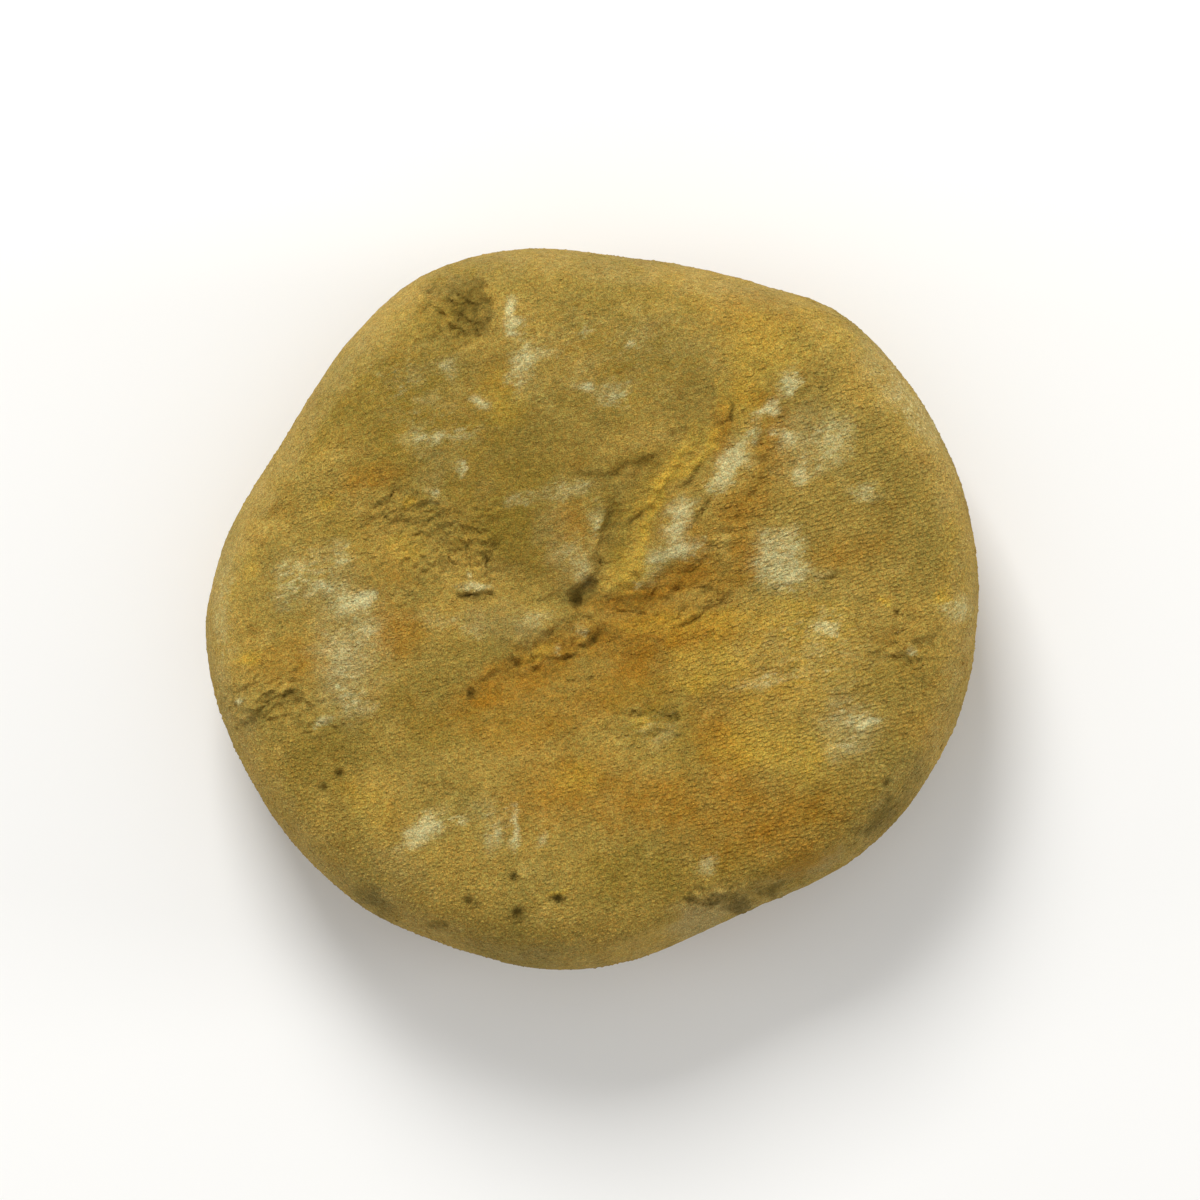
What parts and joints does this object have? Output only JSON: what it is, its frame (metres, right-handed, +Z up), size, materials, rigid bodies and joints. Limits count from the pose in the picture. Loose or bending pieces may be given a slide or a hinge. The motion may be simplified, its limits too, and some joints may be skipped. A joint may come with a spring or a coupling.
{
  "type": "fossil sand dollar",
  "caption": "Worn fossil sand dollar, a rounded five-sided disc of ochre stone lying mouth side up, with food grooves, ledges and pits.",
  "frame": {"origin": "middle of the object's box in plan, on the surface that it lies on", "axes": "+Z up, out of the mouth side; +X along the longest extent, to the right in the picture; +Y towards the picture's top"},
  "size_m": [0.0772, 0.072, 0.0201],
  "materials": {
    "ochre_stone": "dull ochre-brown stone with orange iron stain, pale chalky scuffs and dark grime in the hollows"
  },
  "bodies": {
    "root": {"sand_dollar": "ochre_stone"}
  },
  "joints": []
}
